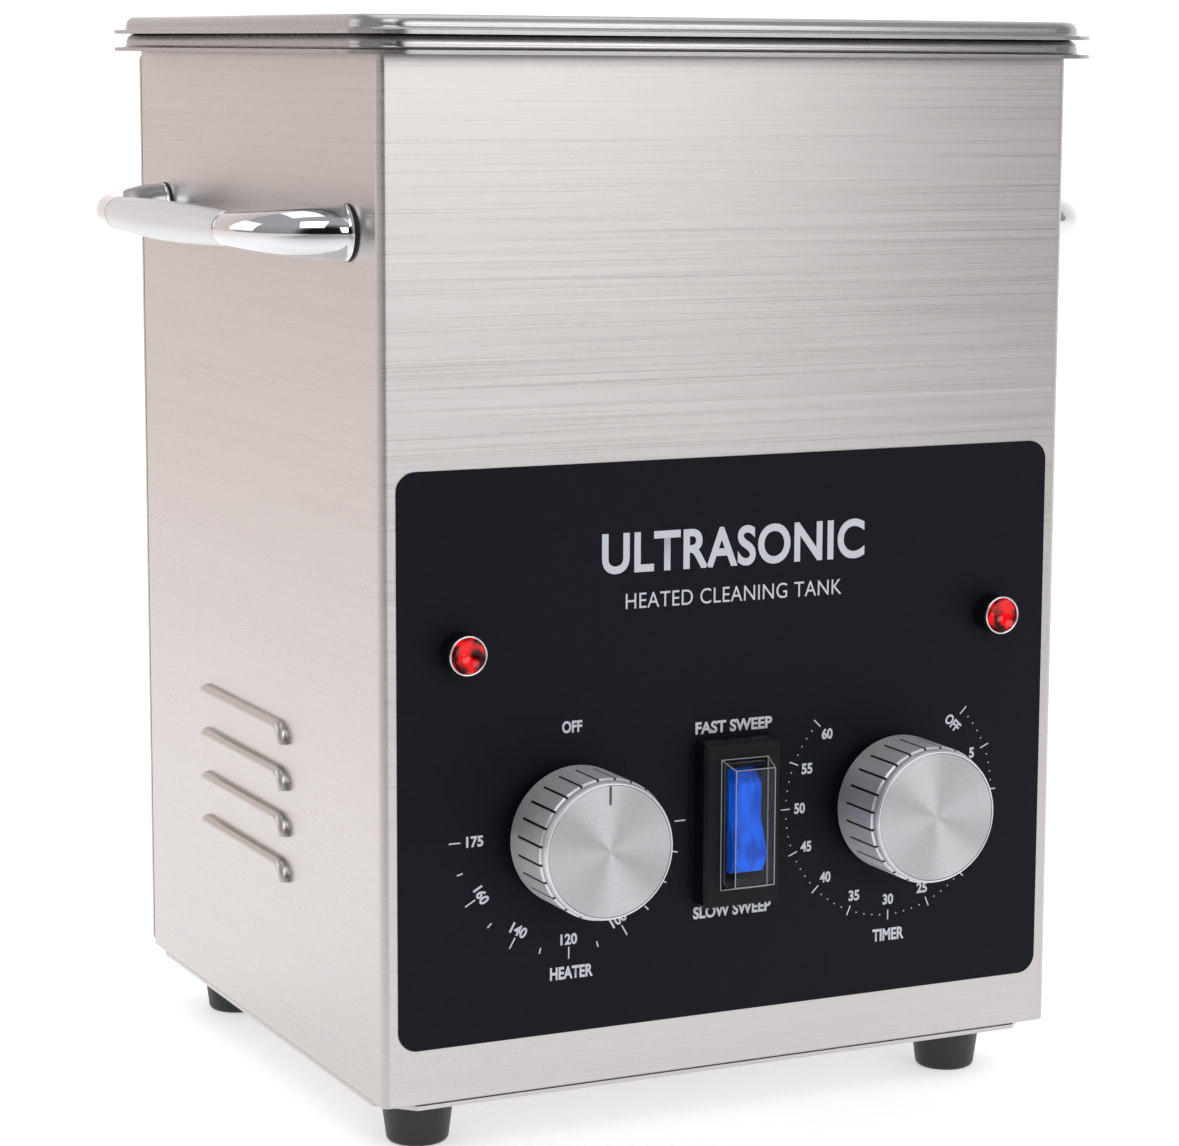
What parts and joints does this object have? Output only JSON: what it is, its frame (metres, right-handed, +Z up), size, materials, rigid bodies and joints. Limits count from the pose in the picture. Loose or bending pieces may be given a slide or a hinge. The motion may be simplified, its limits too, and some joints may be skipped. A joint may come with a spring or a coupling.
{
  "type": "ultrasonic cleaner",
  "caption": "Bench ultrasonic cleaner: brushed steel case, lidded tank with lifting basket, side handles, heater and timer dials, covered rocker switch and red lamps.",
  "frame": {"origin": "on the floor under the middle of the overall box, which runs from the dial faces to the end of the fuse cap", "axes": "+Z up; the control panel faces -Y; +X to the right as seen from the front"},
  "size_m": [0.2256, 0.1962, 0.257],
  "materials": {
    "case_steel": "brushed horizontally",
    "tank_steel": "drawn, fine satin",
    "lid_steel": "fine satin",
    "basket_wire": "woven wire",
    "polished_wire": "polished",
    "screw_steel": "machined",
    "foot_rubber": "satin black",
    "gasket_rubber": "matte black",
    "handle_satin": "satin",
    "handle_chrome": "mirror bright",
    "panel_black": "finely textured",
    "knob_metal": "turned, grooved",
    "knob_spun": "spun face",
    "shaft_steel": "ground",
    "control_body": "moulded",
    "brass": "plain",
    "copper_like": "drawn tube",
    "switch_black": "satin black",
    "rocker_blue": "glossy, translucent",
    "cover_clear": "clear",
    "lens_red": "deep red, faceted",
    "horn_aluminium": "machined",
    "piezo_ceramic": "fired",
    "heater_silicone": "moulded",
    "board_green": "laminate",
    "ferrite": "sintered",
    "inlet_black": "moulded"
  },
  "bodies": {
    "housing": {"housing_wrap": "case_steel", "rear_panel": "case_steel", "base_plate": "case_steel", "foot_left_front": "foot_rubber", "foot_left_rear": "foot_rubber", "foot_right_front": "foot_rubber", "foot_right_rear": "foot_rubber", "foot_screws": "screw_steel", "base_screws": "screw_steel", "rear_screws": "screw_steel", "tank": "tank_steel", "tank_gasket": "gasket_rubber", "handle_left_grip": "handle_satin", "handle_right_grip": "handle_satin", "handle_left_front_elbow": "handle_chrome", "handle_left_rear_elbow": "handle_chrome", "handle_right_front_elbow": "handle_chrome", "handle_right_rear_elbow": "handle_chrome", "handle_gaskets": "gasket_rubber", "handle_screws": "screw_steel", "control_panel": "panel_black", "thermostat": "control_body", "timer": "control_body", "bushing_nuts": "brass", "thermostat_bulb": "copper_like", "switch_body": "switch_black", "switch_cover": "cover_clear", "switch_terminals": "brass", "lamp_left_body": "switch_black", "lamp_left_lens": "lens_red", "lamp_right_body": "switch_black", "lamp_right_lens": "lens_red", "lamp_rings": "handle_chrome", "transducer_horns": "horn_aluminium", "transducer_ceramics": "piezo_ceramic", "transducer_back_masses": "screw_steel", "transducer_bolts": "screw_steel", "heater_pad": "heater_silicone", "generator_board": "board_green", "board_standoffs": "brass", "heatsink": "horn_aluminium", "transformer": "ferrite", "power_inlet": "inlet_black", "inlet_pins": "brass", "fuse_holder": "inlet_black", "fuse_cap": "inlet_black"},
    "lid": {"lid": "lid_steel", "lid_handle": "polished_wire", "lid_handle_screws": "screw_steel"},
    "basket": {"basket_mesh": "basket_wire", "basket_rim": "polished_wire", "basket_handles": "polished_wire", "basket_feet": "gasket_rubber"},
    "heater_dial": {"heater_knob": "knob_metal", "heater_knob_cap": "knob_spun", "heater_shaft": "shaft_steel"},
    "timer_dial": {"timer_knob": "knob_metal", "timer_knob_cap": "knob_spun", "timer_shaft": "shaft_steel"},
    "rocker": {"switch_rocker": "rocker_blue"}
  },
  "joints": [
    {"name": "basket_lift", "type": "slide", "parent": "housing", "child": "basket", "axis": [0, 0, 1], "range_m": [0, 0.11]},
    {"name": "lid_lift", "type": "slide", "parent": "basket", "child": "lid", "axis": [0, 0, 1], "range_m": [0, 0.12]},
    {"name": "heater_turn", "type": "hinge", "parent": "housing", "child": "heater_dial", "pos_m": [-0.042, -0.07585, 0.0741], "axis": [0, 1, 0], "range_deg": [0, 270]},
    {"name": "timer_turn", "type": "hinge", "parent": "housing", "child": "timer_dial", "pos_m": [0.042, -0.07585, 0.0741], "axis": [0, 1, 0], "range_deg": [0, 270]},
    {"name": "rocker_tip", "type": "hinge", "parent": "housing", "child": "rocker", "pos_m": [0, -0.07785, 0.0733], "axis": [1, 0, 0], "range_deg": [0, 22]}
  ]
}
